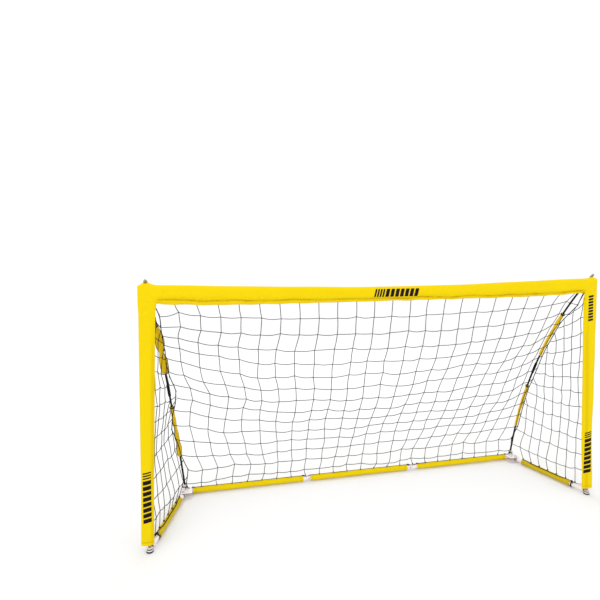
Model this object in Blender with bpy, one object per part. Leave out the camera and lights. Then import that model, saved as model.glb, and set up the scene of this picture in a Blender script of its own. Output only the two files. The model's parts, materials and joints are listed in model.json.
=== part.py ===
"""Pop-up goal: a folding steel base, sleeved fibreglass poles and a square-mesh net.

Metres, +Z up. The mouth faces -Y, +X runs along the crossbar, and the origin is on the ground under
the middle of the goal's box.
"""

from math import asin, cos, pi, radians, sin

import bmesh
import bpy
from mathutils import Quaternion, Vector

# Plan and height
POST_X = 1.183  # centre line of each upright
FRONT_Y = -0.2754  # plane of the uprights and crossbar
DEPTH = 0.548  # uprights to rear bar, centre to centre
REAR_Y = FRONT_Y + DEPTH
REAR_X = 1.045  # centre line of each strut socket
CORNER_Z = 1.208  # crossbar pole at the top corners
CROSSBAR_SAG = 0.025

ROUND = 16  # sides of a round piece

# Steel base
TUBE_R = 0.0125
TUBE_WALL = 0.0015
BASE_SLEEVE_R = 0.0185
BASE_Z = BASE_SLEEVE_R * cos(pi / ROUND)  # centre line: the sleeves' flats rest on the ground
REAR_JOINT_X = 0.34
REAR_GAPS = {-1: 0.046, 1: 0.068}  # bare tube showing at each joint of the rear bar
REAR_SLEEVE_END = 1.0
SPIGOT_R = 0.0107
SPIGOT_LENGTH = 0.12
PLATE = 0.003
BRACKET_X = (1.005, 1.078)
BRACKET_Y = (REAR_Y - 0.062, REAR_Y + 0.0160)
BRACKET_Z = (BASE_Z - 0.016, BASE_Z + 0.016)
PIN_OFFSET = (0.012, -0.045)  # hinge pin from the strut socket's centre line
PIN_R = 0.004
PIN_CLEARANCE = 0.0003
EYE_R = 0.0115
SHANK = (0.0144, 0.058)  # side of the square, and its end from the hinge pin
SIDE_TUBE_START = 0.020  # distances from the hinge pin
SIDE_SLEEVE_START = 0.060
SIDE_SLEEVE_GAP = 0.105  # from the sleeve's front end to the upright
FOOT_R = 0.0155
CUP_R = 0.013
CUP_Z = (0.0068, 0.0218)
SOCKET_R = 0.011
SOCKET_BORE = 0.0075
SOCKET_TOP = 0.088

# Snap buttons
BUTTON_R = 0.0032
BUTTON_FLANGE_R = 0.0044
BUTTON_SET_IN = 0.012  # from the tube joint, on the middle tube
BUTTON_CLEARANCE = 0.0004
SPRING_THICK = 0.0005
SPRING_WIDTH = 0.005
SPRING_REACH = 0.030

# Fibreglass poles and their sleeves
POLE_R = 0.0055
FERRULE_R = 0.0078
FERRULE_BORE = 0.0059
FERRULE_LENGTH = 0.07
POST_FERRULE_LENGTH = 0.040
POST_SEAT = CUP_Z[1] + 0.0010  # underside of the upright's ferrule, clear of its cup
BUTT_GAP = 0.0003  # half the gap between pole ends that meet
ELBOW_R = 0.010
ELBOW_BORE = 0.0062
ELBOW_BEND = 0.020
ELBOW_LEG = 0.030
CLOTH = 0.0012
UPRIGHT_SLEEVE = (0.040, 0.0125)  # half width and half depth at the top
UPRIGHT_SLEEVE_FOOT = (0.030, 0.0105)
UPRIGHT_SLEEVE_BOTTOM = 0.036
UPRIGHT_SLEEVE_LEAN = 0.007  # how far its top hangs inside the pole
CROSSBAR_SLEEVE_TOP = (1.2325, 0.0235)  # z at the corners, and its sag
CROSSBAR_SLEEVE_FOOT = (1.1485, 0.0140)
CROSSBAR_SLEEVE_DEPTH = 0.0135  # half of it
CROSSBAR_SLEEVE_END = 1.220

# Bowed struts
STRUT_FOOT_Z = 0.037
STRUT_TIP = (-0.012, 1.258)  # y from the front plane, and z
STRUT_RADIUS = 1.87
STRUT_SPLAY = radians(17)  # the bow leans outward, turned about its chord
STRUT_SLEEVE = (0.019, 0.0095)  # half width in the strut's plane and half depth across it
STRUT_SLEEVES = {  # stretches that they cover, as shares of the strut
    -1: {"lower": (0.148, 0.378), "upper": (0.540, 0.779)},
    1: {"lower": (0.148, 0.360), "upper": (0.530, 0.767)},
}
STRUT_JOINT = 0.455
TIP_OPENING_R = 0.0095
CAP_LENGTH = 0.022
CAP_R = 0.0068

# Net
NET_THICK = 0.003
CORD_R = 0.0025
SEAM_OFFSET = 0.0225  # seam cord from the strut, on its inner side
SEAM_BULGE = 0.022
SEAM_ASIDE = {-1: (0.020, 0.032, 0.020), 1: (0.022, 0.015, 0.0)}  # its bulge towards the middle
SEAM_ENDS = (0.012, 0.909)  # as shares of the strut
SEAM_STEPS = 32
NET_GAP = 0.0085  # net edge from the middle of its seam cord
NET_HANG = (  # hang of the net's middle: y from the front plane, share of height
    (0.016, 1.0), (0.022, 0.88), (0.045, 0.79), (0.127, 0.64), (0.217, 0.495),
    (0.322, 0.36), (0.432, 0.23), (0.505, 0.11), (0.545, 0.0),
)
NET_SPREAD = (0.6, 12)  # the edges' hold on the panel: broad share, and power of the rest

YELLOW = ((0.95, 0.72, 0.02), 0.75, 0.0)
WHITE = ((0.86, 0.85, 0.84), 0.35, 0.0)
BLACK_POLE = ((0.02, 0.02, 0.022), 0.3, 0.0)
DARK_CORD = ((0.03, 0.03, 0.032), 0.8, 0.0)
STEEL = ((0.45, 0.44, 0.42), 0.35, 1.0)
BRASS = ((0.60, 0.50, 0.33), 0.35, 1.0)
RUBBER = ((0.02, 0.02, 0.02), 0.8, 0.0)

X, Y, Z = Vector((1, 0, 0)), Vector((0, 1, 0)), Vector((0, 0, 1))
SIDES = {"left": -1, "right": 1}


def clear_scene():
    for obj in list(bpy.data.objects):
        bpy.data.objects.remove(obj, do_unlink=True)


def material(name, look):
    colour, roughness, metallic = look
    mat = bpy.data.materials.new(name)
    mat.use_nodes = True
    shader = mat.node_tree.nodes["Principled BSDF"]
    shader.inputs["Base Color"].default_value = (*colour, 1)
    shader.inputs["Roughness"].default_value = roughness
    shader.inputs["Metallic"].default_value = metallic
    mat.diffuse_color = (*colour, 1)
    return mat


def link(name, data, look, origin, pivot):
    """Adds an object at origin, under the pivot empty if there is one."""
    obj = bpy.data.objects.new(name, data)
    bpy.context.scene.collection.objects.link(obj)
    obj.location = Vector(origin)
    if pivot:
        obj.parent = pivot
        obj.location = Vector(origin) - pivot.location
    data.materials.append(material(name + "_finish", look))
    return obj


def add(name, bm, look, origin=(0, 0, 0), pivot=None):
    bmesh.ops.recalc_face_normals(bm, faces=bm.faces)
    bmesh.ops.translate(bm, verts=bm.verts, vec=-Vector(origin))
    mesh = bpy.data.meshes.new(name)
    bm.to_mesh(mesh)
    bm.free()
    obj = link(name, mesh, look, origin, pivot)
    mesh.shade_smooth()
    mesh.set_sharp_from_angle(angle=0.7)
    return obj


def add_rod(name, points, radius, look, pivot=None):
    """A round rod or cord along points."""
    origin = Vector(points[0])
    curve = bpy.data.curves.new(name, "CURVE")
    curve.dimensions = "3D"
    curve.bevel_depth = radius
    curve.bevel_resolution = 2
    curve.use_fill_caps = True
    spline = curve.splines.new("POLY")
    spline.points.add(len(points) - 1)
    for target, point in zip(spline.points, points):
        target.co = (*(Vector(point) - origin), 1)
    return link(name, curve, look, origin, pivot)


def empty(name, place):
    pivot = bpy.data.objects.new(name, None)
    pivot.empty_display_size = 0.05
    pivot.location = place
    bpy.context.scene.collection.objects.link(pivot)
    return pivot


def tangents(points):
    last = len(points) - 1
    return [(points[min(i + 1, last)] - points[max(i - 1, 0)]).normalized() for i in range(last + 1)]


def rings(bm, points, across, halves, sides):
    """One oval ring square to the path at each point. halves gives each ring's two half widths."""
    made = []
    for point, tangent, (wide, deep) in zip(points, tangents(points), halves):
        u = (across - tangent * across.dot(tangent)).normalized()
        v = tangent.cross(u)
        turns = [2 * pi * (k + 0.5) / sides for k in range(sides)]
        made.append([bm.verts.new(point + u * wide * cos(t) + v * deep * sin(t)) for t in turns])
    return made


def join_rings(bm, a, b):
    for k in range(len(a)):
        n = (k + 1) % len(a)
        bm.faces.new((a[k], a[n], b[n], b[k]))


def hollow(points, across, halves, wall, sides=ROUND):
    """An open-ended oval tube of even wall."""
    bm = bmesh.new()
    outer = rings(bm, points, across, halves, sides)
    inner = rings(bm, points, across, [(w - wall, d - wall) for w, d in halves], sides)
    for skin in (outer, inner):
        for a, b in zip(skin, skin[1:]):
            join_rings(bm, a, b)
    join_rings(bm, outer[0], inner[0])
    join_rings(bm, outer[-1], inner[-1])
    return bm


def turned(base, axis, profile, sides=ROUND):
    """A solid of revolution: profile lists (distance along the axis, radius)."""
    bm = bmesh.new()
    u = axis.orthogonal().normalized()
    v = axis.cross(u)
    turns = [2 * pi * (k + 0.5) / sides for k in range(sides)]
    made = [
        [bm.verts.new(base + axis * along + (u * cos(t) + v * sin(t)) * radius) for t in turns]
        for along, radius in profile
    ]
    for a, b in zip(made, made[1:]):
        join_rings(bm, a, b)
    bm.faces.new(made[0])
    bm.faces.new(made[-1])
    return bm


def extruded(outline, depth):
    """A flat outline of points pushed along the vector depth."""
    bm = bmesh.new()
    face = bm.faces.new([bm.verts.new(p) for p in outline])
    grown = bmesh.ops.extrude_face_region(bm, geom=[face])
    moved = [g for g in grown["geom"] if isinstance(g, bmesh.types.BMVert)]
    bmesh.ops.translate(bm, verts=moved, vec=depth)
    return bm


def drill(target, name, base, axis, radius, length):
    """Cuts a round hole through target."""
    bm = turned(base, axis, [(0, radius), (length, radius)], 24)
    bmesh.ops.recalc_face_normals(bm, faces=bm.faces)
    mesh = bpy.data.meshes.new(name)
    bm.to_mesh(mesh)
    bm.free()
    cutter = bpy.data.objects.new(name, mesh)
    bpy.context.scene.collection.objects.link(cutter)
    cutter.hide_render = True
    cutter.display_type = "WIRE"
    hole = target.modifiers.new(name, "BOOLEAN")
    hole.operation = "DIFFERENCE"
    hole.solver = "EXACT"
    hole.object = cutter


def line(a, b, steps):
    return [a.lerp(b, i / steps) for i in range(steps + 1)]


def sag_share(x):
    """How much of its sag a crossbar line has at x: none at the corners, all in the middle."""
    free = POST_X - ELBOW_BEND - ELBOW_LEG
    share = min(abs(x) / free, 1)
    return (1 - share**2) ** 1.5


def crossbar_z(x):
    """Height of the crossbar pole: level at the corners, sagging between them."""
    return CORNER_Z - CROSSBAR_SAG * sag_share(x)


def sleeve_edge(edge, x):
    """Height of the crossbar sleeve's top or foot."""
    corner, sag = edge
    return corner - sag * sag_share(x)


class Strut:
    """The bow of one strut: an arc from its rear socket to its top corner, bowed back and outward."""

    def __init__(self, side):
        self.side = side
        self.foot = Vector((side * REAR_X, REAR_Y, STRUT_FOOT_Z))
        self.tip = Vector((side * POST_X, FRONT_Y + STRUT_TIP[0], STRUT_TIP[1]))
        chord = self.tip - self.foot
        self.chord = chord.normalized()
        level = self.chord.cross(Z) * side
        back = level.cross(self.chord) * side
        splay = Quaternion(self.chord, -side * STRUT_SPLAY)
        self.out = splay @ (back if back.y > 0 else -back).normalized()
        self.normal = self.out.cross(self.chord)
        self.aside = self.normal * (-1 if self.normal.x * side > 0 else 1)
        self.half = asin(chord.length / 2 / STRUT_RADIUS)
        self.centre = (self.foot + self.tip) / 2 - self.out * STRUT_RADIUS * cos(self.half)

    def point(self, share, inward=0.0):
        turn = self.half * (2 * share - 1)
        ray = self.out * cos(turn) + self.chord * sin(turn)
        return self.centre + ray * (STRUT_RADIUS - inward)

    def arc(self, start, end, steps, inward=0.0):
        return [self.point(start + (end - start) * i / steps, inward) for i in range(steps + 1)]

    def share(self, length):
        return length / (2 * self.half * STRUT_RADIUS)


def rear_bar():
    tube = [(TUBE_R, TUBE_R)] * 2
    sleeve = [(BASE_SLEEVE_R, BASE_SLEEVE_R)] * 2

    def piece(name, start, end, halves, wall, look):
        ends = [Vector((start, REAR_Y, BASE_Z)), Vector((end, REAR_Y, BASE_Z))]
        return add(name, hollow(ends, Z, halves, wall), look, origin=ends[0])

    seam = 0.0005
    left, right = -REAR_JOINT_X, REAR_JOINT_X
    middle = piece("rear_tube_middle", left + seam, right - seam, tube, TUBE_WALL, WHITE)
    left, right = left + REAR_GAPS[-1] / 2, right - REAR_GAPS[1] / 2
    piece("rear_sleeve_middle", left, right, sleeve, CLOTH, YELLOW)
    for word, side in SIDES.items():
        inner, outer = side * (REAR_JOINT_X + seam), side * (REAR_X + 0.006)
        piece(f"rear_tube_{word}", inner, outer, tube, TUBE_WALL, WHITE)
        start = side * (REAR_JOINT_X + REAR_GAPS[side] / 2)
        piece(f"rear_sleeve_{word}", start, side * REAR_SLEEVE_END, sleeve, CLOTH, YELLOW)
        mid, half = side * REAR_JOINT_X, SPIGOT_LENGTH / 2
        core = [(SPIGOT_R, SPIGOT_R)] * 2
        spigot = piece(f"rear_spigot_{word}", mid - half, mid + half, core, TUBE_WALL, STEEL)
        place = Vector((side * (REAR_JOINT_X - BUTTON_SET_IN), REAR_Y, BASE_Z))
        drill(middle, f"tube_hole_{word}", place, -Y, BUTTON_R + BUTTON_CLEARANCE, 0.03)
        drill(spigot, f"spigot_hole_{word}", place, -Y, BUTTON_R + BUTTON_CLEARANCE, 0.03)
        snap_button(word, side, place)


def snap_button(word, side, place):
    """A domed button through the tube wall, and the leaf spring behind its flange."""
    pivot = empty(f"snap_{word}_pivot", place)
    profile = [
        (0.0060, BUTTON_FLANGE_R),
        (0.0074, BUTTON_FLANGE_R),
        (0.0075, BUTTON_R),
        (0.0138, BUTTON_R),
        (0.0148, BUTTON_R * 0.8),
        (0.0152, BUTTON_R * 0.35),
    ]
    add(f"snap_button_{word}", turned(place, -Y, profile, 12), BRASS, origin=place, pivot=pivot)
    thick, reach, back = SPRING_THICK, SPRING_REACH, 0.0045
    front, low = -0.0056, place.z - SPRING_WIDTH / 2
    leaf = [(0.004, front), (-0.004, front), (-reach, 0), (back, back), (back, back - thick),
            (-reach + 4 * thick, 0), (-0.0035, front + thick), (0.004, front + thick)]
    outline = [Vector((place.x - side * a, REAR_Y + b, low)) for a, b in leaf]
    spring = extruded(outline, Z * SPRING_WIDTH)
    add(f"snap_spring_{word}", spring, STEEL, origin=place, pivot=pivot)


def corner_bracket(word, side):
    """A steel channel, open to the front, that holds the rear tube and the hinge pin."""
    (y0, y1), (z0, z1) = BRACKET_Y, BRACKET_Z
    y2, z2, z3 = y1 - PLATE, z0 + PLATE, z1 - PLATE
    x0, x1 = (side * x for x in BRACKET_X)
    channel = [(y0, z0), (y1, z0), (y1, z1), (y0, z1), (y0, z3), (y2, z3), (y2, z2), (y0, z2)]
    outline = [Vector((x0, y, z)) for y, z in channel]
    plates = extruded(outline, X * (x1 - x0))
    bracket = add(f"corner_bracket_{word}", plates, WHITE, origin=outline[0])
    pin = pin_place(side)
    drill(bracket, f"pin_hole_{word}", pin - Z * 0.03, Z, PIN_R + PIN_CLEARANCE, 0.09)
    profile = [(0.0012, PIN_R), (z1 + 0.0003, PIN_R), (z1 + 0.0004, 2 * PIN_R),
               (z1 + 0.002, 2 * PIN_R), (z1 + 0.003, PIN_R)]
    ground = Vector((pin.x, pin.y, 0))
    add(f"hinge_pin_{word}", turned(ground, Z, profile, 24), STEEL, origin=ground)


def pin_place(side):
    return Vector((side * (REAR_X + PIN_OFFSET[0]), REAR_Y + PIN_OFFSET[1], BASE_Z))


def strut_socket(word, strut):
    rise = (strut.point(0.01) - strut.point(-0.01)).normalized()
    bottom = BRACKET_Z[1] + 0.0018
    ends = [strut.foot + rise * ((z - STRUT_FOOT_Z) / rise.z) for z in (bottom, SOCKET_TOP)]
    socket = hollow(ends, X, [(SOCKET_R, SOCKET_R)] * 2, SOCKET_R - SOCKET_BORE)
    add(f"strut_socket_{word}", socket, WHITE, origin=ends[0])


def side_bar(word, side):
    """Everything that folds in about the rear corner's hinge pin."""
    pin = pin_place(side)
    pivot = empty(f"side_bar_{word}_pivot", pin)
    post = Vector((side * POST_X, FRONT_Y, BASE_Z))
    run = (post - pin).normalized()
    length = (post - pin).length
    flat = run.cross(Z)

    def at(distance, height=0.0):
        return pin + run * distance + Z * height

    ends = [at(SIDE_TUBE_START), at(length - FOOT_R - 0.001)]
    tube = hollow(ends, Z, [(TUBE_R, TUBE_R)] * 2, TUBE_WALL)
    add(f"side_tube_{word}", tube, WHITE, ends[0], pivot)
    ends = [at(SIDE_SLEEVE_START), at(length - SIDE_SLEEVE_GAP)]
    sleeve = hollow(ends, Z, [(BASE_SLEEVE_R, BASE_SLEEVE_R)] * 2, CLOTH)
    add(f"side_sleeve_{word}", sleeve, YELLOW, ends[0], pivot)
    hinge_tongue(word, pin, run, flat, pivot)
    top = BASE_SLEEVE_R + CORD_R + 0.0004
    cord = line(at(SIDE_SLEEVE_START, top), at(length - SIDE_SLEEVE_GAP, top), 12)
    add_rod(f"side_edge_cord_{word}", cord, CORD_R, DARK_CORD, pivot)
    ground = Vector((post.x, post.y, 0))
    low, high = CUP_Z
    cup = [(low, CUP_R), (high - 0.0015, CUP_R), (high, CUP_R - 0.0015)]
    add(f"foot_cup_{word}", turned(ground, Z, cup), WHITE, ground, pivot)
    foot = [(0, FOOT_R - 0.001), (0.001, FOOT_R), (low - 0.0015, FOOT_R),
            (low - 0.0004, FOOT_R - 0.001)]
    add(f"rubber_foot_{word}", turned(ground, Z, foot), RUBBER, ground, pivot)


def hinge_tongue(word, pin, run, flat, pivot):
    """A flat eye round the pin, with a square shank inside the side tube."""
    side, end = SHANK
    start = asin(side / 2 / EYE_R)
    turns = [start + (2 * pi - 2 * start) * i / 14 for i in range(15)]
    rim = [pin + (run * cos(t) + flat * sin(t)) * EYE_R for t in turns]
    outline = [pin + run * end - flat * side / 2, pin + run * end + flat * side / 2, *rim]
    outline = [p - Z * side / 2 for p in outline]
    tongue = add(f"hinge_tongue_{word}", extruded(outline, Z * side), STEEL, pin, pivot)
    drill(tongue, f"eye_hole_{word}", pin - Z * 0.03, Z, PIN_R + PIN_CLEARANCE, 0.06)


def upright(word, side):
    foot = Vector((side * POST_X, FRONT_Y, 0))
    profile = [(0, FERRULE_R - 0.0008), (0.0015, FERRULE_R), (POST_FERRULE_LENGTH, FERRULE_R)]
    ferrule = add(f"upright_ferrule_{word}", turned(foot + Z * POST_SEAT, Z, profile), BRASS, foot)
    floor = POST_SEAT + 0.012
    drill(ferrule, f"ferrule_bore_{word}", foot + Z * floor, Z, FERRULE_BORE, 0.05)
    top = CORNER_Z - ELBOW_BEND - 0.002
    pole = line(foot + Z * (floor + 0.0005), foot + Z * top, 6)
    add_rod(f"upright_pole_{word}", pole, POLE_R, BLACK_POLE)
    head = Z * (CROSSBAR_SLEEVE_FOOT[0] - 0.0005) - X * side * UPRIGHT_SLEEVE_LEAN
    steps = 6
    path = line(foot + Z * UPRIGHT_SLEEVE_BOTTOM, foot + head, steps)
    narrow, wide = Vector(UPRIGHT_SLEEVE_FOOT), Vector(UPRIGHT_SLEEVE)
    halves = line(narrow, wide, steps)
    add(f"upright_sleeve_{word}", hollow(path, X, halves, CLOTH), YELLOW, foot)


def top_elbow(word, side, crossbar_sleeve):
    """A bent tube that joins the upright's pole to the crossbar's, and the sleeve's opening for it."""
    post = Vector((side * POST_X, FRONT_Y, CORNER_Z))
    hub = post - X * side * ELBOW_BEND - Z * ELBOW_BEND
    turns = [pi / 2 * i / 6 for i in range(7)]
    bend = [hub + (X * side * cos(t) + Z * sin(t)) * ELBOW_BEND for t in turns]
    path = [bend[0] - Z * ELBOW_LEG, *bend, bend[-1] - X * side * ELBOW_LEG]
    tube = hollow(path, Y, [(ELBOW_R, ELBOW_R)] * len(path), ELBOW_R - ELBOW_BORE, 12)
    add(f"top_elbow_{word}", tube, STEEL, path[0])
    below = path[0] - Z * 0.04
    drill(crossbar_sleeve, f"post_opening_{word}", below, Z, ELBOW_R + 0.0015, 0.06)


def crossbar():
    def at(x):
        return Vector((x, FRONT_Y, crossbar_z(x)))

    end = POST_X - ELBOW_BEND - 0.002
    for word, side in SIDES.items():
        pole = [at(side * (BUTT_GAP + (end - BUTT_GAP) * i / 14)) for i in range(15)]
        add_rod(f"crossbar_pole_{word}", pole, POLE_R, BLACK_POLE)
    joint = [at(x) for x in (-FERRULE_LENGTH / 2, 0, FERRULE_LENGTH / 2)]
    ferrule = hollow(joint, Y, [(FERRULE_R, FERRULE_R)] * 3, FERRULE_R - FERRULE_BORE)
    add("crossbar_ferrule", ferrule, STEEL)
    places = [CROSSBAR_SLEEVE_END * i / 8 for i in range(-8, 9)]
    edges = [[sleeve_edge(e, x) for e in (CROSSBAR_SLEEVE_TOP, CROSSBAR_SLEEVE_FOOT)] for x in places]
    path = [Vector((x, FRONT_Y, (top + foot) / 2)) for x, (top, foot) in zip(places, edges)]
    halves = [((top - foot) / 2, CROSSBAR_SLEEVE_DEPTH) for top, foot in edges]
    return add("crossbar_sleeve", hollow(path, Z, halves, CLOTH), YELLOW)


def bowed_strut(word, side, crossbar_sleeve):
    """The two-piece pole with its ferrule and cap, and the sleeves and socket that it slides in."""
    strut = Strut(side)
    pivot = empty(f"strut_{word}_pivot", strut.centre)
    cap, reach = strut.share(CAP_LENGTH), strut.share(FERRULE_LENGTH) / 2
    small = strut.share(BUTT_GAP)
    lower = strut.arc(0, STRUT_JOINT - small, 12)
    upper = strut.arc(STRUT_JOINT + small, 1 - cap, 12)
    add_rod(f"strut_pole_lower_{word}", lower, POLE_R, BLACK_POLE, pivot)
    add_rod(f"strut_pole_upper_{word}", upper, POLE_R, BLACK_POLE, pivot)
    path = strut.arc(STRUT_JOINT - reach, STRUT_JOINT + reach, 3)
    wall = FERRULE_R - FERRULE_BORE
    ferrule = hollow(path, strut.normal, [(FERRULE_R, FERRULE_R)] * 4, wall, 12)
    add(f"strut_ferrule_{word}", ferrule, STEEL, path[0], pivot)
    base = strut.point(1 - cap + small)
    up = (strut.point(1) - base).normalized()
    bullet = [(0, CAP_R), (CAP_LENGTH * 0.7, CAP_R), (CAP_LENGTH * 0.9, CAP_R * 0.75),
              (CAP_LENGTH, CAP_R * 0.35)]
    add(f"strut_cap_{word}", turned(base, up, bullet, 16), BRASS, base, pivot)
    for place, (start, end) in STRUT_SLEEVES[side].items():
        path = strut.arc(start, end, 5)
        cloth = hollow(path, strut.out, [STRUT_SLEEVE] * 6, CLOTH)
        add(f"strut_sleeve_{place}_{word}", cloth, YELLOW, path[0])
    above = strut.point(1.03)
    drill(crossbar_sleeve, f"tip_opening_{word}", above, -up, TIP_OPENING_R, 0.10)
    strut_socket(word, strut)
    return strut


def seam_offset(side, share):
    """How far inside the strut and to its side the seam cord lies: near at the sleeves, bulging
    away between them."""
    low, high = STRUT_SLEEVES[side]["lower"], STRUT_SLEEVES[side]["upper"]
    spans = [(SEAM_ENDS[0], low[0]), (low[1], high[0]), (high[1], SEAM_ENDS[1])]
    for (start, end), aside in zip(spans, SEAM_ASIDE[side]):
        if start < share < end:
            bulge = sin(pi * (share - start) / (end - start))
            return SEAM_OFFSET + SEAM_BULGE * bulge, aside * bulge
    return SEAM_OFFSET, 0.0


def seam_path(strut, extra=0.0):
    start, end = SEAM_ENDS
    path = []
    for i in range(SEAM_STEPS + 1):
        share = start + (end - start) * i / SEAM_STEPS
        inward, aside = seam_offset(strut.side, share)
        path.append(strut.point(share, inward + extra) + strut.aside * aside)
    return path


def sheet(name, grid):
    """A thin sheet through a grid of points."""
    bm = bmesh.new()
    rows = [[bm.verts.new(p) for p in row] for row in grid]
    for a, b in zip(rows, rows[1:]):
        for c in range(len(a) - 1):
            bm.faces.new((a[c], a[c + 1], b[c + 1], b[c]))
    made = add(name, bm, DARK_CORD, grid[0][0])
    thick = made.modifiers.new("thickness", "SOLIDIFY")
    thick.thickness = NET_THICK
    thick.offset = 0


def side_net(word, side, strut):
    """The panel between the upright, the side bar and the seam cord."""
    columns = 4
    front, low = FRONT_Y + UPRIGHT_SLEEVE[1] + 0.006, 2 * BASE_SLEEVE_R + 0.010
    edge = seam_path(strut, NET_GAP)
    high = edge[-1].z - 0.002
    grid = []
    for r, rim in enumerate(edge):
        post = Vector((side * POST_X, front, low + (high - low) * r / SEAM_STEPS))
        grid.append(line(post, rim, columns))
    sheet(f"side_net_{word}", grid)


def smooth(values, t):
    """A point on the Catmull-Rom curve through values, with t from 0 to 1."""
    last = len(values) - 1
    spot = t * last
    i = min(int(spot), last - 1)
    f = spot - i
    a, b, c, d = (Vector(values[min(max(i + k, 0), last)]) for k in (-1, 0, 1, 2))
    square, cube = a - b * 2.5 + c * 2 - d / 2, b * 1.5 - a / 2 - c * 1.5 + d / 2
    return b + (c - a) * f / 2 + square * f**2 + cube * f**3


def rear_net(struts):
    """The panel from the crossbar to the rear bar, lofted between the two seam cords."""
    columns = 12
    low = 2 * BASE_SLEEVE_R + 0.006
    left, right = seam_path(struts[-1]), seam_path(struts[1])
    broad, power = NET_SPREAD
    grid = []
    for left_rim, right_rim in zip(left, right):
        left_share, right_share = (
            (rim.z - edge[0].z) / (edge[-1].z - edge[0].z)
            for rim, edge in ((left_rim, left), (right_rim, right))
        )
        row = []
        for c in range(columns + 1):
            u = 2 * c / columns - 1
            share = left_share + (right_share - left_share) * c / columns
            rim = right_rim if u > 0 else left_rim
            x = u * (abs(rim.x) - NET_GAP)
            head = sleeve_edge(CROSSBAR_SLEEVE_FOOT, x) - 0.003
            middle = Vector((x, FRONT_Y + drop_y(share), low + (head - low) * share))
            side_edge = Vector((x, rim.y, low + (head - low) * share))
            row.append(middle.lerp(side_edge, broad * u**2 + (1 - broad) * u**power))
        grid.append(row)
    sheet("rear_net", grid)


def drop_y(share):
    """How far behind the front plane the middle of the rear net hangs, at a share of its height."""
    steps = 200
    curve = [smooth(NET_HANG, i / steps) for i in range(steps + 1)]
    near = min(curve, key=lambda p: abs(p[1] - share))
    return near[0]


def net_and_cords(struts):
    for word, side in SIDES.items():
        side_net(word, side, struts[side])
        add_rod(f"seam_cord_{word}", seam_path(struts[side]), CORD_R, DARK_CORD)
    rear_net(struts)
    top = BASE_Z + BASE_SLEEVE_R + CORD_R + 0.0004
    ends = [Vector((x, REAR_Y, top)) for x in (-REAR_SLEEVE_END, REAR_SLEEVE_END)]
    add_rod("rear_edge_cord", line(*ends, 24), CORD_R, DARK_CORD)


def main():
    clear_scene()
    rear_bar()
    sleeve = crossbar()
    struts = {}
    for word, side in SIDES.items():
        corner_bracket(word, side)
        side_bar(word, side)
        upright(word, side)
        top_elbow(word, side, sleeve)
        struts[side] = bowed_strut(word, side, sleeve)
    net_and_cords(struts)


main()
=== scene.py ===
import json
from math import cos, pi, radians, sin, sqrt

import bmesh
import bpy
import numpy as np
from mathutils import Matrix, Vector
from mathutils.bvhtree import BVHTree


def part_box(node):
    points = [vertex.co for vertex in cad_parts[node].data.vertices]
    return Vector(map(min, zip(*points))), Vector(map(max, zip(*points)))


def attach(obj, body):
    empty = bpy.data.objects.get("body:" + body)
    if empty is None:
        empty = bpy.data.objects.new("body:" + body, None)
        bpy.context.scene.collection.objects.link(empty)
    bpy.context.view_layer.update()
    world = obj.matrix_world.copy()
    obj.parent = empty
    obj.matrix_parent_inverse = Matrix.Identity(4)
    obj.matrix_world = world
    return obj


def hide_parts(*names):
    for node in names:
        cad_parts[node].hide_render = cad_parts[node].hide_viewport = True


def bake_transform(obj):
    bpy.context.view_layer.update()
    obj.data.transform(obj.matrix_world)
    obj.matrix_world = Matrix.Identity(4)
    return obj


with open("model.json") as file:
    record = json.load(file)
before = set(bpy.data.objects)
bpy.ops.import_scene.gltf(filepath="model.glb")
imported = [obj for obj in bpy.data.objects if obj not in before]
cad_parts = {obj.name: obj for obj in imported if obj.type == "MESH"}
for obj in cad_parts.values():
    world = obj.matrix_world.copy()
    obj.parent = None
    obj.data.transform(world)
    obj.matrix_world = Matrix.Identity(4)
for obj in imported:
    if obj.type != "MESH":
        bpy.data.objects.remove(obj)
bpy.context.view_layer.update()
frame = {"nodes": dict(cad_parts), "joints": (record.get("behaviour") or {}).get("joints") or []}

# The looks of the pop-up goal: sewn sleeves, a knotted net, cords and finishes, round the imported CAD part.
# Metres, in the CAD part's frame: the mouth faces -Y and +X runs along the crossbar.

SIDES = {"left": -1, "right": 1}


def unit(v):
    v = np.asarray(v, float)
    return v / np.linalg.norm(v)


def units(rows):
    return rows / np.maximum(np.linalg.norm(rows, axis=1), 1e-12)[:, None]


def mid(node):
    low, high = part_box(node)
    return (low + high) / 2


def points_of(node):
    return np.array([v.co for v in frame["nodes"][node].data.vertices], float)


# Places and sizes, read from the CAD part

POST_X = mid("upright_pole_right").x
FRONT_Y = mid("upright_pole_right").y
BASE_Z = mid("rear_tube_middle").z
REAR_Y = mid("rear_tube_middle").y
BAR_FREE = 1.133  # the crossbar pole is level beyond this, and sags between
SLEEVE_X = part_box("crossbar_sleeve")[1].x - 0.0030
INNER_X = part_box("upright_sleeve_right")[0].x  # inner edge of an upright's sleeve at its top
UPRIGHT_FOOT, HEM_Z = (corner.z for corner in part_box("upright_sleeve_right"))
BAR_SLEEVE_LOW, BAR_SLEEVE_HIGH = (corner.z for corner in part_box("crossbar_sleeve"))

CLOTH = 0.0008  # thickness
FACE_DEPTH = 0.0122  # half the thickness of a full front sleeve
FOOT_STITCH = UPRIGHT_FOOT + 0.014  # height of the stitches in an upright's hem
BASE_STITCH = 0.013  # the same from the end of a base sleeve
STRUT_STITCH = 0.011  # and of a strut's sleeve
BASE_CLOTH_R = 0.0152  # a base sleeve's cloth, close round its tube
CAD_SLEEVE_HALF = 0.0181  # half width of the side bars' sleeves in the CAD part
PIPING_Z = BASE_Z + BASE_CLOTH_R + 0.0018  # the cords that run in its upper edge
TWINE_R = 0.0018
CORD_R = 0.0024
KNOT_R = 0.0028
UP = np.array((0, 0, 1.0))


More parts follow.
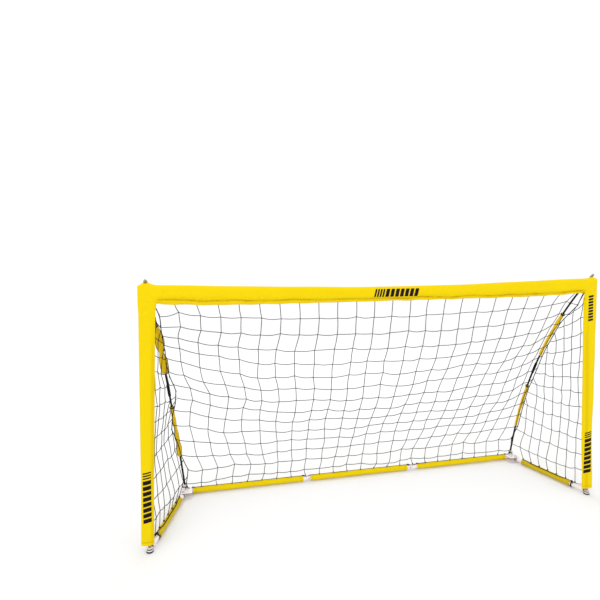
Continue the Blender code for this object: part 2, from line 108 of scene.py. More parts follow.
def smoothstep(a, b, x):
    t = np.clip((np.asarray(x, float) - a) / (b - a), 0, 1)
    return t * t * (3 - 2 * t)


def bell(x, width):
    """1 at 0, and near nothing beyond twice the width."""
    return np.exp(-((x / width) ** 2))


def ripple(p, seed, length, size, waves=8):
    """A smooth random value at each point, of about that size, in waves of about that length."""
    rng = np.random.default_rng(seed)
    p = np.asarray(p, float)
    total = np.zeros(p.shape[:-1])
    for _ in range(waves):
        k = unit(rng.normal(size=p.shape[-1])) * 2 * pi / (np.asarray(length) * rng.uniform(0.7, 1.6))
        total = total + np.sin((p * k).sum(-1) + rng.uniform(0, 2 * pi))
    return size * total / sqrt(waves / 2)


def wander(x, seed, length, size):
    """The same for places along X alone."""
    return ripple(np.asarray(x, float)[..., None], seed, length, size)


def rise_share(x):
    """How far a crossbar line has risen from its middle: 1 at the corners."""
    return 1 - (1 - np.minimum(np.abs(x) / BAR_FREE, 1) ** 2) ** 1.5


# Finishes


class Finish:
    """One procedural material: its shader, and short ways to add the nodes that feed it."""

    def __init__(self, name, colour, roughness, **settings):
        self.mat = bpy.data.materials.new(name)
        self.mat.use_nodes = True
        self.tree = self.mat.node_tree
        self.sockets = self.tree.nodes["Principled BSDF"].inputs
        self.feed(self.sockets["Base Color"], colour)
        self.feed(self.sockets["Roughness"], roughness)
        for key, value in settings.items():
            self.feed(self.sockets[key.replace("_", " ")], value)
        self.where = self.node("TexCoord").outputs["Object"]

    def feed(self, socket, value):
        """Links a socket to another, or sets it to a number, a vector or a colour."""
        if isinstance(value, bpy.types.NodeSocket):
            self.tree.links.new(value, socket)
        else:
            socket.default_value = (*value, 1) if socket.type == "RGBA" else value

    def node(self, kind, inputs=(), **settings):
        made = self.tree.nodes.new("ShaderNode" + kind)
        for key, value in settings.items():
            setattr(made, key, value)
        for key, value in dict(inputs).items():
            self.feed(made.inputs[key], value)
        return made

    def maths(self, operation, a, b):
        return self.node("Math", {0: a, 1: b}, operation=operation).outputs[0]

    def stretched(self, where, scale):
        return self.node("Mapping", {"Vector": where, "Scale": scale}).outputs["Vector"]

    def noise(self, scale, detail=3.0, roughness=0.55, stretch=None):
        where = self.stretched(self.where, stretch) if stretch else self.where
        inputs = {"Vector": where, "Scale": scale, "Detail": detail, "Roughness": roughness}
        return self.node("TexNoise", inputs).outputs["Fac"]

    def wave(self, where, scale, distortion, direction):
        inputs = {"Vector": where, "Scale": scale, "Distortion": distortion, "Detail": 1.0}
        return self.node("TexWave", inputs, wave_type="BANDS", bands_direction=direction).outputs["Fac"]

    def ramp(self, value, *stops, to="Base Color"):
        """Colours or greys that follow a value, into one of the shader's sockets."""
        made = self.node("ValToRGB", {"Fac": value})
        elements = made.color_ramp.elements
        while len(elements) < len(stops):
            elements.new(0.5)
        for element, (place, colour) in zip(elements, stops):
            element.position = place
            element.color = (*colour, 1) if hasattr(colour, "__len__") else (colour, colour, colour, 1)
        self.feed(self.sockets[to], made.outputs["Color"])
        return made.outputs["Color"]

    def mixed(self, factor, a, b):
        """A mix of two colours, into the shader's colour."""
        made = self.node("Mix", data_type="RGBA")
        colours = [s for s in made.inputs if s.type == "RGBA"]
        for socket, value in zip([made.inputs[0], *colours], (factor, a, b)):
            self.feed(socket, value)
        out = next(s for s in made.outputs if s.type == "RGBA")
        self.feed(self.sockets["Base Color"], out)
        return out

    def bump(self, height, distance, strength, under=None):
        inputs = {"Height": height, "Distance": distance, "Strength": strength}
        if under is not None:
            inputs["Normal"] = under
        out = self.node("Bump", inputs).outputs["Normal"]
        self.feed(self.sockets["Normal"], out)
        return out


def polyester(name, colour, shade):
    """Plain-weave polyester: fine crossed threads, soft creases, and painted shade along its seams and
    creases.
    """
    made = Finish(name, colour, 0.62, Specular_IOR_Level=0.04)
    weave = made.maths("MAXIMUM", *(made.wave(made.where, 190.0, 0.6, way) for way in "XZ"))
    drawn = (1, 1, 0.15)
    faded = made.mixed(made.maths("MULTIPLY", made.noise(9.0, 4.0, stretch=drawn), 0.55), colour, shade)
    # painted shade: the seam attribute darkens the cloth towards a deeper tone along its stitches, folds and
    # creases
    seam = made.node("Attribute", attribute_name="seam").outputs["Fac"]
    made.mixed(made.maths("MULTIPLY", seam, 0.75), faded, np.array(shade) * (0.66, 0.55, 0.6))
    made.ramp(made.noise(45.0, 2.0), (0.3, 0.52), (0.7, 0.72), to="Roughness")
    made.bump(weave, 0.0004, 0.5, made.bump(made.noise(22.0, stretch=drawn), 0.004, 0.35))
    return made.mat


def twisted(name, colour, pale, turns):
    """Laid twine: strands that wind along the piece's own UV map, with a little fluff."""
    made = Finish(name, colour, 0.8, Specular_IOR_Level=0.08)
    along = made.stretched(made.node("TexCoord").outputs["UV"], (turns, 1.0, 1.0))
    strands = made.wave(along, 0.955, 0.3, "DIAGONAL")
    made.ramp(made.noise(60.0, 4.0), (0.25, colour), (0.8, pale))
    made.bump(strands, 0.0006, 0.8, made.bump(made.noise(1500.0, 2.0), 0.0004, 0.4))
    return made.mat


def powder_coat(name="white_powder_coat", band=None):
    """White powder coat: faint orange peel, greyer scuffs and, if asked, a dark band between two heights."""
    colour = (0.86, 0.79, 0.775)
    made = Finish(name, colour, 0.38, Coat_Weight=0.2, Coat_Roughness=0.25)
    scuffs = made.ramp(made.noise(14.0, 6.0, 0.7, stretch=(1, 4, 4)),
                       (0.0, colour), (0.58, colour), (0.72, (0.66, 0.62, 0.60)))
    if band:
        height = made.node("SeparateXYZ", {"Vector": made.where}).outputs["Z"]
        above, below = (made.maths(way, height, z) for way, z in zip(("GREATER_THAN", "LESS_THAN"), band))
        made.mixed(made.maths("MULTIPLY", above, below), scuffs, (0.03, 0.025, 0.02))
    made.ramp(made.noise(30.0), (0.3, 0.30), (0.7, 0.48), to="Roughness")
    made.bump(made.noise(420.0, 2.0), 0.0003, 0.25)
    return made.mat


def plain(name, colour, roughness, mottle, tints, roughs, grain, relief, **settings):
    """A finish whose colour and roughness follow one noise, over the fine relief of another."""
    made = Finish(name, colour, roughness, **settings)
    value = made.noise(*mottle)
    made.ramp(value, *tints)
    made.ramp(value, *roughs, to="Roughness")
    made.bump(made.noise(*grain), *relief)
    return made.mat


def metal(name, colour, dull, roughness):
    """Plated or bare metal: drawn along its length, dulled in blotches."""
    return plain(name, colour, roughness, (55.0, 5.0, 0.65), ((0.35, colour), (0.7, dull)),
                 ((0.3, roughness), (0.8, roughness + 0.22)), (30.0, 2.0, 0.55, (60, 60, 3)), (0.0002, 0.3),
                 Metallic=1.0)


def ink():
    """Screen-printed black: the weave shows through, and it has worn thin in specks."""
    made = Finish("printed_ink", (0.008, 0.005, 0.006), 0.55, Specular_IOR_Level=0.08)
    made.ramp(made.noise(320.0, 4.0, 0.7),
              (0.0, (0.008, 0.004, 0.005)), (0.70, (0.012, 0.007, 0.008)), (0.80, (0.14, 0.09, 0.02)))
    made.ramp(made.noise(60.0), (0.3, 0.45), (0.7, 0.65), to="Roughness")
    made.bump(made.noise(900.0, 2.0), 0.0003, 0.4)
    return made.mat


def floor_finish():
    """Pale floor: painted darker under the goal, where the lamps light it most, and near white far from it,
    so that it evens out the lamps' light.
    """
    made = Finish("pale_floor", (0.96, 0.96, 0.96), 0.8)
    away = made.node("VectorMath", {0: made.where}, operation="LENGTH").outputs["Value"]
    parts = [made.maths("MULTIPLY", value, size) for value, size in ((away, 0.1), (made.noise(1.5), 0.02))]
    made.ramp(made.maths("ADD", *parts), (0.25, 0.83), (0.5, 0.90), (0.8, 0.985))
    return made.mat


YELLOW = polyester("yellow_polyester", (0.80, 0.605, 0.003), (0.75, 0.52, 0.003))
# a darker copy of the yellow cloth, as painted shade for the side bars' sleeves, which face away from the
# light
SHADED_YELLOW = polyester("shaded_yellow_polyester", (0.62, 0.46, 0.012), (0.50, 0.35, 0.012))
# a darker, more orange copy of the yellow cloth, as painted shade for the struts' sleeves, which face back
# and inward, away from the light
SHADED_STRUT_YELLOW = polyester("shaded_strut_yellow_polyester", (0.78, 0.52, 0.008), (0.60, 0.38, 0.008))
THREAD = twisted("yellow_thread", (0.48, 0.30, 0.01), (0.66, 0.44, 0.02), 900.0)
TWINE = twisted("net_twine", (0.012, 0.012, 0.014), (0.05, 0.05, 0.053), 260.0)
CORD = twisted("edge_cord", (0.003, 0.003, 0.004), (0.016, 0.016, 0.018), 150.0)
WHITE = powder_coat()
CUP_WHITE = powder_coat("banded_foot_cup", (0.0125, 0.0190))
FIBRES = (40.0, 3.0, 0.55, (30, 30, 1.2))  # a pultruded rod's, fine and along its length
BLACK = plain("black_fibreglass", (0.004, 0.004, 0.005), 0.45, FIBRES,
              ((0.3, (0.003, 0.003, 0.004)), (0.75, (0.012, 0.012, 0.014))), ((0.3, 0.36), (0.75, 0.52)),
              FIBRES, (0.0003, 0.3), Specular_IOR_Level=0.05)
STEEL = metal("bare_steel", (0.55, 0.54, 0.52), (0.36, 0.35, 0.34), 0.32)
BLACKENED = metal("blackened_steel", (0.012, 0.012, 0.013), (0.005, 0.005, 0.006), 0.5)
BRASS = metal("dull_brass", (0.46, 0.38, 0.26), (0.26, 0.22, 0.17), 0.42)
RUBBER = plain("black_rubber", (0.018, 0.018, 0.019), 0.75, (90.0, 5.0, 0.7),
               ((0.45, (0.016, 0.016, 0.017)), (0.85, (0.075, 0.07, 0.065))), ((0.3, 0.62), (0.8, 0.88)),
               (700.0, 2.0), (0.0003, 0.4))
INK = ink()


# Meshes


def made_piece(name, verts, faces, mat, uvs=None, shades=None, flat=False):
    mesh = bpy.data.meshes.new(name)
    mesh.from_pydata([tuple(v) for v in verts], [], [tuple(f) for f in faces])
    if uvs is not None:
        layer = mesh.uv_layers.new(name="along")
        index = np.zeros(len(mesh.loops), np.int32)
        mesh.loops.foreach_get("vertex_index", index)
        layer.data.foreach_set("uv", np.asarray(uvs, np.float32)[index].ravel())
    if shades is not None:
        # the seam attribute carries painted shade for the stitches, folds and creases
        seam = mesh.attributes.new("seam", "FLOAT", "POINT")
        seam.data.foreach_set("value", np.asarray(shades, np.float32))
    mesh.materials.append(mat)
    if not flat:
        mesh.shade_smooth()
    obj = bpy.data.objects.new(name, mesh)
    bpy.context.scene.collection.objects.link(obj)
    return obj


def grid_faces(rows, columns, wrap=False, start=0):
    """Quads over a grid of vertices that is stored row by row."""
    faces = []
    for r in range(rows - 1):
        for c in range(columns if wrap else columns - 1):
            n = (c + 1) % columns
            a, b = start + r * columns, start + (r + 1) * columns
            faces.append((a + c, a + n, b + n, b + c))
    return faces


def turned_out(obj, merge=0.0):
    """Turns a mesh's faces outward, and first joins its doubled points if asked."""
    bm = bmesh.new()
    bm.from_mesh(obj.data)
    if merge:
        bmesh.ops.remove_doubles(bm, verts=bm.verts, dist=merge)
    bmesh.ops.recalc_face_normals(bm, faces=bm.faces)
    bm.to_mesh(obj.data)
    bm.free()


def thicken(obj, thick, offset):
    """Gives a sheet its real thickness, as plain mesh."""
    solid = obj.modifiers.new("thick", "SOLIDIFY")
    solid.thickness, solid.offset = thick, offset
    graph = bpy.context.evaluated_depsgraph_get()
    final = bpy.data.meshes.new_from_object(obj.evaluated_get(graph))
    obj.modifiers.clear()
    obj.data = final


def sewn_piece(name, verts, shades, mat, faces=None):
    """A sleeve of cloth: a tube that is stored ring by ring, unless faces are given. shades says how much
    painted shade each point gets, along its seams and creases."""
    faces = faces or grid_faces(*verts.shape[:2], wrap=True)
    obj = made_piece(name, np.reshape(verts, (-1, 3)), faces, mat, shades=shades.ravel())
    turned_out(obj, 1e-5)
    thicken(obj, CLOTH, -1)
    obj.data.shade_smooth()
    obj.data.set_sharp_from_angle(angle=radians(50))
    return obj


def attached(obj, replaced=None, body="frame"):
    """Lets a piece ride on a body, and in place of a CAD node if one is named."""
    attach(obj, body)
    if replaced:
        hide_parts(replaced)
    return obj


def tree_of(obj):
    """The piece's surface, for rays."""
    mesh = obj.data
    return BVHTree.FromPolygons([v.co for v in mesh.vertices], [tuple(p.vertices) for p in mesh.polygons])


def lengths_along(path):
    """How far along a path each of its points is."""
    return np.concatenate([[0], np.cumsum(np.linalg.norm(np.diff(path, axis=0), axis=1))])


def ring_axes(axis, near=(0.3, 0.9, 0.2)):
    """Two directions square to an axis and to each other."""
    u = unit(np.cross(axis, near))
    return u, np.cross(axis, u)


class Tubes:
    """Round cords and knots that are joined into one piece."""

    def __init__(self):
        self.verts, self.faces, self.uvs = [], [], []

    def close(self, start, rings, sides, way):
        """Faces between the rings of points from start on, and over both ends. way is 1 or -1."""
        self.faces += [f[::way] for f in grid_faces(rings, sides, True, start)]
        for ring, turn in ((start, -way), (start + (rings - 1) * sides, way)):
            self.faces.append(tuple(range(ring, ring + sides))[::turn])
        return self

    def cord(self, path, radius, sides=6):
        path = np.asarray(path, float)
        tangent = units(np.gradient(path, axis=0))
        side = unit(np.cross(tangent[0], (0.31, 0.87, 0.38)))
        start = len(self.verts)
        for p, t, along in zip(path, tangent, lengths_along(path)):
            side = unit(side - t * (side @ t))
            other = np.cross(t, side)
            for k in range(sides):
                a = 2 * pi * k / sides
                self.verts.append(p + (side * cos(a) + other * sin(a)) * radius)
                self.uvs.append((along, k / sides))
        return self.close(start, len(path), sides, -1)

    def knot(self, place, size, axis=(0, 0, 1), seed=0):
        """A small lumpy ball, drawn tight round the cords that meet in it."""
        axis = unit(axis)
        u, v = ring_axes(axis)
        rings, sides, start = 5, 7, len(self.verts)
        for r in range(rings):
            polar = pi * (r + 0.5) / rings
            for k in range(sides):
                a = 2 * pi * k / sides
                lump = 1 + 0.16 * sin(3 * a + 2.1 * r + seed)
                spot = axis * cos(polar) * 0.8 + (u * cos(a) + v * sin(a)) * sin(polar) * lump
                self.verts.append(place + spot * size)
                self.uvs.append((r * size, k / sides))
        return self.close(start, rings, sides, 1)

    def tail(self, tie, steps, radius):
        """A short loose end that leaves a tie by those steps."""
        return self.cord(curve([tie, *(tie + np.array(step) for step in steps)], 6), radius)

    def wraps(self, centre, axis, inner, radius, turns, start_angle=0.0):
        """Turns of cord wound tight round something."""
        axis = unit(axis)
        u, v = ring_axes(axis, (0.2, 0.5, 0.84))
        count = int(14 * turns)
        path = []
        for i in range(count + 1):
            a = start_angle + 2 * pi * turns * i / count
            climb = (i / count - 0.5) * turns * 2 * radius
            path.append(np.asarray(centre) + (u * cos(a) + v * sin(a)) * (inner + radius) + axis * climb)
        return self.cord(path, radius)

    def piece(self, name, mat):
        obj = made_piece(name, self.verts, self.faces, mat, self.uvs)
        obj.data.set_sharp_from_angle(angle=radians(75))
        return obj


def curve(points, steps=8):
    """A smooth line through points."""
    p = np.asarray(points, float)
    p = np.vstack([2 * p[0] - p[1], p, 2 * p[-1] - p[-2]])
    made = []
    for i in range(1, len(p) - 2):
        a, b, c, d = p[i - 1 : i + 3]
        for f in np.arange(steps) / steps:
            made.append(b + (c - a) * f / 2 + (a - 2.5 * b + 2 * c - d / 2) * f**2
                        + (1.5 * b - a / 2 - 1.5 * c + d / 2) * f**3)
    return np.array([*made, p[-2]])


def sagging(points, sag, bow, rng, steps=4):
    """Lines from knot to knot that hang a little between them and aren't quite straight."""
    points = np.asarray(points, float)
    made = [points[0]]
    for a, b in zip(points, points[1:]):
        drop, lean = sag * rng.uniform(0.3, 1.6), rng.normal(size=3) * bow
        level = np.hypot(*(b - a)[:2]) / max(np.linalg.norm(b - a), 1e-9)
        for f in np.arange(1, steps + 1) / steps:
            made.append(a + (b - a) * f + (lean - np.array((0, 0, drop * level))) * sin(pi * f))
    return np.array(made)


def looked_up(value, keys, line):
    """The points of a line at those values, where keys has its value at each of its points."""
    return np.stack([np.interp(value, keys, line[:, k]) for k in range(3)], axis=-1)


def along_line(path, distance):
    """The points at those distances along a path."""
    path = np.asarray(path, float)
    return looked_up(distance, lengths_along(path), path)


def length_of(path):
    return float(lengths_along(path)[-1])


# The struts' bows and the seam cords beside them, from the CAD part


class Bow:
    """One strut's arc: the plane and centre that its joint turns about."""

    def __init__(self, word):
        joint = next(j for j in frame["joints"] if j["name"] == f"strut_{word}_lift")
        self.side = SIDES[word]
        self.centre, self.normal = np.array(joint["pos_m"]), unit(joint["axis"])
        self.middle = self.normal * (-1 if self.normal[0] * self.side > 0 else 1)
        nodes = [points_of(f"strut_{part}_{word}") for part in ("pole_lower", "pole_upper", "cap")]
        ray = np.vstack(nodes) - self.centre
        ray -= np.outer(ray @ self.normal, self.normal)
        self.radius = np.linalg.norm(ray[: len(nodes[0])], axis=1).mean()
        self.back = unit(ray.mean(0))
        self.rise = np.cross(self.normal, self.back)
        if self.rise[2] < 0:
            self.rise = -self.rise
        turns = self.polar(np.vstack(nodes))[0]
        self.first, self.last = turns.min(), turns.max()
        self.seam_turns, self.seam_radii, self.seam_aside = self.means(points_of(f"seam_cord_{word}"), 33)

    def polar(self, points):
        """Each point's turn about the bow's centre, its distance from it, and its place to the inner side."""
        ray = points - self.centre
        out, up = ray @ self.back, ray @ self.rise
        return np.arctan2(up, out), np.hypot(up, out), ray @ self.middle

    def means(self, points, bins):
        """The same for a cord, as smoothed means over short stretches."""
        values = self.polar(points)
        edges = np.linspace(values[0].min(), values[0].max(), bins + 1)
        near = [(values[0] >= a - 1e-6) & (values[0] <= b + 1e-6) for a, b in zip(edges, edges[1:])]
        made = np.array([[row[found].mean() for found in near if found.any()] for row in values])
        made[1:] = [np.convolve(np.pad(row, 1, "edge"), (0.25, 0.5, 0.25), "valid") for row in made[1:]]
        return made

    def turn(self, share):
        return self.first + (self.last - self.first) * np.asarray(share, float)

    def at(self, turn, inward=0.0, aside=0.0):
        turn = np.asarray(turn, float)[..., None]
        ray = self.back * np.cos(turn) + self.rise * np.sin(turn)
        inward, aside = (np.asarray(v, float)[..., None] for v in (inward, aside))
        return self.centre + ray * (self.radius - inward) + self.middle * aside

    def point(self, share):
        return self.at(self.turn(share))

    def seam(self, count):
        """The seam cord's centre line, from the bottom up."""
        turn = np.linspace(self.seam_turns[0], self.turn(0.93), count)
        inward = self.radius - np.interp(turn, self.seam_turns, self.seam_radii)
        aside = np.interp(turn, self.seam_turns, self.seam_aside)
        share = (turn - self.first) / (self.last - self.first)
        if self.side < 0:
            aside = aside + 0.016 * bell(share - 0.10, 0.05) - 0.018 * bell(share - 0.285, 0.04)
            aside = aside + 0.010 * smoothstep(0.34, 0.44, share) + 0.012 * bell(share - 0.70, 0.12)
        else:
            aside = aside + 0.022 * bell(share - 0.08, 0.05)
            inward = inward + 0.014 * bell(share - 0.85, 0.07)
        return self.at(turn, inward, aside)

    def shares_of(self, name):
        turns = self.polar(points_of(name))[0]
        return [(t - self.first) / (self.last - self.first) for t in (turns.min(), turns.max())]


BOWS = {word: Bow(word) for word in SIDES}


# The crossbar's and uprights' sleeves

TIP_X = abs(BOWS["right"].point(0.985)[0])
BAR_SAG, SAG_SKEW = 0.0240, 0.0016  # how far the bar's middle hangs, and how much the two ends differ
LEAST_DEPTH = 0.0009  # half the thickness where two cloths lie on each other


def bar_top(x):
    """Upper edge of the crossbar's sleeve, without the peaks at its corners."""
    rise = (BAR_SAG + SAG_SKEW * np.sign(x)) * rise_share(x)
    return BAR_SLEEVE_HIGH - 0.0227 + rise + wander(x, 5, 0.45, 0.0007)


def head_z(x):
    """Upper edge with the peaks, where a strut's tip lifts the cloth."""
    peak = np.where(x < 0, 0.0180, 0.0085) * np.exp(-((np.abs(np.abs(x) - TIP_X) / 0.024) ** 1.5))
    slope = 0.004 * smoothstep(TIP_X + 0.012, SLEEVE_X, np.abs(x))
    return bar_top(x) + peak - slope


def skirt_z(x):
    """Lower edge of the crossbar's sleeve: higher to the right, and it climbs to both corners."""
    share = x / BAR_FREE
    climb = 0.0045 * share + 0.0155 * np.minimum(np.abs(share), 1) ** 6
    return BAR_SLEEVE_LOW + 0.0008 + climb + wander(x, 6, 0.16, 0.0009)


def stitch_z(x):
    """Height of the stitches above the crossbar's hem."""
    share = 0.79 + 0.045 * x / BAR_FREE
    return bar_top(x) * (1 - share) + skirt_z(x) * share + wander(x, 7, 0.21, 0.0016)


def post_edges(side, z):
    """How far out the inner and outer edges of an upright's sleeve are: it widens towards the top."""
    grow = np.clip((z - 0.30) / (HEM_Z - 0.30), 0, 1)
    half = np.where(side < 0, 0.0285 + 0.0085 * grow, 0.0330 + 0.0098 * grow)
    middle = POST_X + np.where(side < 0, 0.0095 - 0.0128 * z, -0.0085 * smoothstep(0.10, 0.35, z))
    sewn = smoothstep(HEM_Z - 0.045, HEM_Z, z)
    inner = (middle - half) * (1 - sewn) + INNER_X * sewn
    outer = (middle + half) * (1 - sewn) + SLEEVE_X * sewn
    return inner, outer


def swell(share):
    """Height of a rounded edge, from its rim inward."""
    share = np.clip(share, 0, 1)
    return np.sqrt(np.maximum(1 - (1 - share) ** 2, 0))


def corner_depth(x, z):
    """Half the thickness of the cloth over a top corner."""
    outer = np.minimum(SLEEVE_X - np.abs(x), head_z(x) - z)
    down = np.maximum(np.abs(x) - INNER_X, 0)
    inner = np.hypot(down, np.maximum(z - skirt_z(x), 0))
    low = smoothstep(HEM_Z + 0.012, HEM_Z, z)
    under = np.maximum(low * down + (1 - low) * inner, 0)
    return FACE_DEPTH * swell(np.minimum(outer, under) / (0.46 * (SLEEVE_X - INNER_X)))


def bar_depth(x, z):
    """Half the thickness of the crossbar's sleeve: a pocket over the pole, and a flat hem under stitches."""
    stitch, top, low = stitch_z(x), head_z(x), skirt_z(x)
    up = np.clip((z - stitch) / (top - stitch), 0, 1)
    pocket = FACE_DEPTH * np.minimum(swell(up / 0.42), swell((1 - up) / 0.40))
    hem = 0.0024 * swell((z - low) / 0.006) * swell((stitch - z) / 0.010)
    return np.where(z > stitch, np.maximum(pocket, LEAST_DEPTH), np.maximum(hem, LEAST_DEPTH) * (z > low))


def upright_depth(x, z):
    inner, outer = post_edges(np.sign(x), z)
    across = np.clip(1 - np.abs(2 * np.abs(x) - inner - outer) / (outer - inner), 0, 1)
    taper = 1 - 0.12 * (1 - smoothstep(UPRIGHT_FOOT, 0.25, z))
    return FACE_DEPTH * taper * swell(across / 0.92)


def crease(x, z):
    """Depth share of the long crease down each upright, where its cloth is pulled round the pole."""
    inner, outer = post_edges(np.sign(x), z)
    place = np.where(x < 0, 0.13, 0.24 + 0.10 * smoothstep(0.9, 0.4, z))
    across = (np.abs(x) - inner) / (outer - inner) - place
    return bell(across, np.where(x < 0, 0.10, 0.13)) * smoothstep(HEM_Z - 0.06, HEM_Z - 0.30, z)


def face(x, z, layer):
    """A point of the front (-1) or back (1) cloth, at a place on the goal's front."""
    x, z = np.asarray(x, float), np.asarray(z, float)
    out, stitch, skirt = np.abs(x), stitch_z(x), skirt_z(x)
    corner = smoothstep(INNER_X - 0.035, INNER_X + 0.004, out)
    high = np.clip(z, skirt, head_z(x))
    top = bar_depth(x, high) * (1 - corner) + corner_depth(x, high) * corner
    top_part = np.maximum(smoothstep(HEM_Z - 0.0005, HEM_Z + 0.0005, z), out < INNER_X - 1e-6)
    depth = top * top_part + upright_depth(x, z) * (1 - top_part)
    p = np.stack([x, z], axis=-1)
    # long soft folds, creases that fan out from each corner, and puckers along the stitches
    post = smoothstep(INNER_X - 0.01, INNER_X + 0.02, out)
    folds = ripple(p * (1, 0.16), 21 + layer, 0.045, 0.0007) * post
    folds = folds + ripple(p * (0.22, 1), 31 + layer, 0.05, 0.0007) * (1 - post)
    ridge, angle = np.hypot(out - INNER_X, z - HEM_Z), np.arctan2(z - HEM_Z, out - INNER_X)
    folds = folds + 0.0011 * np.sin(angle * 9 + 3 * np.sign(x)) * bell(ridge - 0.045, 0.03)
    near = bell(z - stitch, 0.012) * (1 - corner)
    folds = folds + near * wander(x, 41 + layer, 0.032, 0.0014) - 0.0016 * crease(x, z) * post
    hanging = (z < stitch) * (z > skirt + 1e-6) * (1 - corner) * top_part
    thin = swell(depth / 0.006) * (1 - hanging)
    depth = depth * (1 - 0.10 * bell(z - FOOT_STITCH, 0.0035)) + folds * thin
    depth = np.where(hanging > 0.5, np.maximum(depth, 0.0010), depth)
    sway = ripple(p * (0.5, 0.5), 51, 0.45, 0.0012) * smoothstep(UPRIGHT_FOOT, 0.3, z)
    flap = wander(x, 61, 0.13, 0.0018) * smoothstep(0.0, 0.03, stitch - z) * (1 - corner)
    flap = flap * smoothstep(HEM_Z - 0.03, HEM_Z + 0.005, z + (POST_X - out) * 9)
    return np.stack([x, FRONT_Y + sway * 0.6 + flap * (1 - post) + layer * depth, z], axis=-1)


def eased(start, end, count):
    """Values from start to end, closer together at both."""
    return start + (end - start) * (1 - np.cos(np.linspace(0, pi, count))) / 2


def crossbar_sleeve():
    """The crossbar's sleeve with both top corners: a front and a back cloth, joined at their rims."""
    corner = eased(INNER_X, SLEEVE_X, 17)
    xs = np.concatenate([-corner[::-1], np.linspace(-INNER_X, INNER_X, 321)[1:-1], corner])
    ts = np.concatenate([eased(0, 0.29, 8)[:-1], eased(0.29, 1, 18)])
    inside = np.abs(xs) >= INNER_X - 1e-9
    blend = smoothstep(INNER_X - 0.03, INNER_X, np.abs(xs))
    low = np.where(inside, HEM_Z, skirt_z(xs)) * (1 - blend) + HEM_Z * blend
    grid_x = np.repeat(xs[None], len(ts), 0)
    grid_z = low + (head_z(xs) - low) * ts[:, None]
    verts = np.vstack([face(grid_x, grid_z, layer).reshape(-1, 3) for layer in (-1, 1)])
    rows, columns = grid_x.shape
    back, last = rows * columns, (rows - 1) * columns
    rim = []
    for c in range(columns - 1):
        rim.append((last + c, last + c + 1))
        if not (inside[c] and inside[c + 1]):
            rim.append((c + 1, c))
    for r in range(0, last, columns):
        rim += [(r, r + columns), (r + 2 * columns - 1, r + columns - 1)]
    faces = grid_faces(rows, columns) + [f[::-1] for f in grid_faces(rows, columns, start=back)]
    faces += [(a, b, back + b, back + a) for a, b in rim]
    # painted shade: a dark line along the stitches, a wavy second line in the lens-shaped folds under them,
    # and a light shade over the whole hem below them, where the pocket above shades it
    below = stitch_z(grid_x) - grid_z
    lens = 0.0045 * np.clip(wander(grid_x, 8, 0.10, 1.0), 0.0, 1.2)
    shade = np.maximum(bell(below, 0.0020), 0.7 * bell(below - lens, 0.0018))
    shade = np.maximum(shade, 0.18 * (below > 0)) * (np.abs(grid_x) < INNER_X)
    return sewn_piece("crossbar_sleeve_cloth", verts, np.tile(shade.ravel(), 2), YELLOW, faces)


def upright_sleeve(word, side):
    """An upright's sleeve, as rings of points from its foot up."""
    hem_top = UPRIGHT_FOOT + 0.03
    zs = np.concatenate([np.linspace(UPRIGHT_FOOT, hem_top, 9)[:-1], np.linspace(hem_top, HEM_Z, 150)])
    inner, outer = post_edges(side, zs[:, None])
    grid_x = side * (inner + (outer - inner) * (eased(-1, 1, 17)[None] + 1) / 2)
    grid_z = np.repeat(zs[:, None], grid_x.shape[1], 1)
    front, back = (face(grid_x, grid_z, layer) for layer in (-1, 1))
    loop = np.concatenate([front, back[:, ::-1]], axis=1)
    # painted shade along the hem's stitches and down the long crease
    shade = np.maximum(bell(grid_z - FOOT_STITCH, 0.0016), 0.42 * crease(grid_x, grid_z))
    shades = np.concatenate([shade, shade[:, ::-1]], axis=1)
    return sewn_piece(f"upright_sleeve_cloth_{word}", loop, shades, YELLOW)


# Sleeves round the poles and tubes


def skin(path, across, half_u, half_v, shape, sides=36):
    """An oval tube of cloth along a path. shape(along, turn) gives how far the cloth stands off its oval."""
    path = np.asarray(path, float)
    tangent = units(np.gradient(path, axis=0))
    across = np.broadcast_to(np.asarray(across, float), path.shape)
    u = units(across - tangent * (across * tangent).sum(1)[:, None])
    v = np.cross(tangent, u)
    turns = np.arange(sides) * 2 * pi / sides
    along = lengths_along(path)
    grid_a, grid_t = np.meshgrid(along, turns, indexing="ij")
    off = shape(grid_a, grid_t)
    verts = path[:, None]
    for axis, half, wave in ((u, half_u, np.cos), (v, half_v, np.sin)):
        reach = np.broadcast_to(half, along.shape)[:, None] + off
        verts = verts + axis[:, None] * (reach * wave(grid_t))[..., None]
    return verts, grid_a, grid_t


